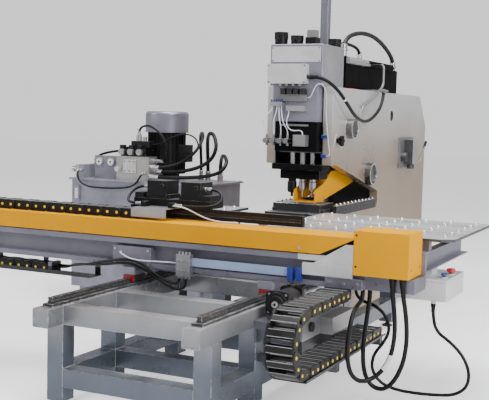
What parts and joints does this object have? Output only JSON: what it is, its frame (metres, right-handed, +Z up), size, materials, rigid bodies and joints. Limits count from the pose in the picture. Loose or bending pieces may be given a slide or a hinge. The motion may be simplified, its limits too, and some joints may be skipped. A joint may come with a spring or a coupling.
{
  "type": "cnc plate punching machine",
  "caption": "Hydraulic plate punching machine: open-throated press frame, railed bed, gantry with ball tables, clamps and cable chains, and an oil power unit.",
  "frame": {"origin": "floor level in the middle plane of the press frame, 160 mm behind the line of the punches", "axes": "+X to the operator's right, +Y from the operator towards the rear, +Z up"},
  "size_m": [3.727, 4.68, 2.72],
  "materials": {
    "bed_steel": "semi-gloss grey machine paint",
    "rail_steel": "ground steel",
    "black_steel": "blackened steel",
    "press_paint": "satin pearl grey paint",
    "lilac_paint": "satin grey paint",
    "yellow_paint": "gloss yellow paint",
    "table_paint": "satin light grey paint",
    "box_plastic": "light grey",
    "chain_plastic": "black nylon",
    "hose_rubber": "black rubber",
    "tube_plastic": "white tube",
    "red_plastic": "red",
    "blue_plastic": "blue",
    "machined_steel": "machined",
    "bronze_cast": "dark casting",
    "motor_paint": "dark grey motor paint"
  },
  "bodies": {
    "machine": {"bed_frame": "bed_steel", "y_rails": "rail_steel", "levelling_feet": "black_steel", "c_frame": "press_paint", "throat_ball_bars": "machined_steel", "die_block": "machined_steel", "head_housing": "lilac_paint", "cylinder_caps": "black_steel", "head_junction_box": "lilac_paint", "tool_body": "black_steel", "ram_plates": "black_steel", "booster_block": "black_steel", "lube_pump": "black_steel", "oil_tank": "lilac_paint", "valve_stack": "black_steel", "pump_motor": "motor_paint", "fan_cowl": "motor_paint", "y_motor_bracket": "bed_steel", "y_servo_motor": "black_steel", "y_chain_lower": "chain_plastic", "side_fittings": "table_paint", "head_conduit": "hose_rubber", "booster_hoses": "hose_rubber", "head_air_tubes": "tube_plastic", "tank_hoses": "hose_rubber"},
    "gantry": {"gantry_saddle": "lilac_paint", "y_carriages": "machined_steel", "x_beam": "lilac_paint", "beam_cover": "yellow_paint", "drive_box": "yellow_paint", "beam_valve_block": "black_steel", "x_servo_motor": "black_steel", "right_table": "table_paint", "left_table": "table_paint", "control_box": "box_plastic", "x_chain_lower": "chain_plastic", "y_chain_upper": "chain_plastic", "gantry_cables": "hose_rubber", "beam_cables": "hose_rubber"},
    "clamp_carriage": {"x_carriage": "lilac_paint", "clamps": "table_paint", "x_chain_upper": "chain_plastic", "clamp_hoses": "hose_rubber"},
    "y_screw": {"y_screw": "machined_steel"},
    "x_screw": {"x_screw": "machined_steel"},
    "y_chain_bend": {"y_chain_bend": "chain_plastic"},
    "x_chain_bend": {"x_chain_bend": "chain_plastic"},
    "jaw_left": {"jaw_left": "machined_steel"},
    "jaw_right": {"jaw_right": "machined_steel"},
    "punch_left": {"punch_left": "machined_steel"},
    "punch_middle": {"punch_middle": "machined_steel"},
    "punch_right": {"punch_right": "machined_steel"},
    "hold_down": {"hold_down": "yellow_paint"},
    "e_stop": {"e_stop": "red_plastic"},
    "start_button": {"start_button": "blue_plastic"},
    "reset_button": {"reset_button": "blue_plastic"},
    "lube_lever": {"lube_lever": "machined_steel"},
    "clamp_knob": {"clamp_knob": "black_steel"},
    "motor_rotor": {"motor_rotor": "machined_steel"}
  },
  "joints": [
    {"name": "y_feed", "type": "slide", "parent": "machine", "child": "gantry", "axis": [0, 1, 0], "range_m": [-0.4, 1.05], "deforming": ["y_chain_lower", "y_chain_upper"]},
    {"name": "x_feed", "type": "slide", "parent": "gantry", "child": "clamp_carriage", "axis": [1, 0, 0], "range_m": [-0.8, 0.5], "deforming": ["x_chain_lower", "x_chain_upper"]},
    {"name": "y_screw_turn", "type": "hinge", "parent": "machine", "child": "y_screw", "pos_m": [0.6, 0, 0.588], "axis": [0, 1, 0], "continuous": true},
    {"name": "x_screw_turn", "type": "hinge", "parent": "gantry", "child": "x_screw", "pos_m": [0, -1.51, 0.788], "axis": [1, 0, 0], "continuous": true},
    {"name": "y_chain_roll", "type": "slide", "parent": "machine", "child": "y_chain_bend", "axis": [0, 1, 0], "range_m": [-0.2, 0.525]},
    {"name": "x_chain_roll", "type": "slide", "parent": "gantry", "child": "x_chain_bend", "axis": [1, 0, 0], "range_m": [-0.4, 0.25]},
    {"name": "jaw_left_close", "type": "slide", "parent": "clamp_carriage", "child": "jaw_left", "axis": [0, 0, 1], "range_m": [-0.014, 0]},
    {"name": "jaw_right_close", "type": "slide", "parent": "clamp_carriage", "child": "jaw_right", "axis": [0, 0, 1], "range_m": [-0.014, 0]},
    {"name": "punch_left_stroke", "type": "slide", "parent": "machine", "child": "punch_left", "axis": [0, 0, 1], "range_m": [-0.05, 0]},
    {"name": "punch_middle_stroke", "type": "slide", "parent": "machine", "child": "punch_middle", "axis": [0, 0, 1], "range_m": [-0.05, 0]},
    {"name": "punch_right_stroke", "type": "slide", "parent": "machine", "child": "punch_right", "axis": [0, 0, 1], "range_m": [-0.05, 0]},
    {"name": "hold_down_press", "type": "hinge", "parent": "machine", "child": "hold_down", "pos_m": [0.04, 0.68, 1.15], "axis": [1, 0, 0], "range_deg": [-1, 0.5]},
    {"name": "e_stop_press", "type": "slide", "parent": "gantry", "child": "e_stop", "axis": [0, 0, 1], "range_m": [-0.005, 0], "stiffness_N_per_m": 900},
    {"name": "start_press", "type": "slide", "parent": "gantry", "child": "start_button", "axis": [0, 0, 1], "range_m": [-0.005, 0], "stiffness_N_per_m": 600},
    {"name": "reset_press", "type": "slide", "parent": "gantry", "child": "reset_button", "axis": [0, 0, 1], "range_m": [-0.005, 0], "stiffness_N_per_m": 600},
    {"name": "lube_pump_stroke", "type": "hinge", "parent": "machine", "child": "lube_lever", "pos_m": [0.295, 1.6, 1.217], "axis": [0, 1, 0], "range_deg": [-5, 60]},
    {"name": "knob_turn", "type": "hinge", "parent": "machine", "child": "clamp_knob", "pos_m": [0.253, -0.165, 1.41], "axis": [1, 0, 0], "continuous": true},
    {"name": "fan_spin", "type": "hinge", "parent": "machine", "child": "motor_rotor", "pos_m": [-1.477, 0.45, 1.43], "axis": [0, 0, 1], "continuous": true}
  ],
  "couplings": [
    {"joint": "y_screw_turn", "follows": "y_feed", "rad_per_m": 314.16},
    {"joint": "x_screw_turn", "follows": "x_feed", "rad_per_m": 314.16},
    {"joint": "y_chain_roll", "follows": "y_feed", "ratio": 0.5},
    {"joint": "x_chain_roll", "follows": "x_feed", "ratio": 0.5}
  ]
}
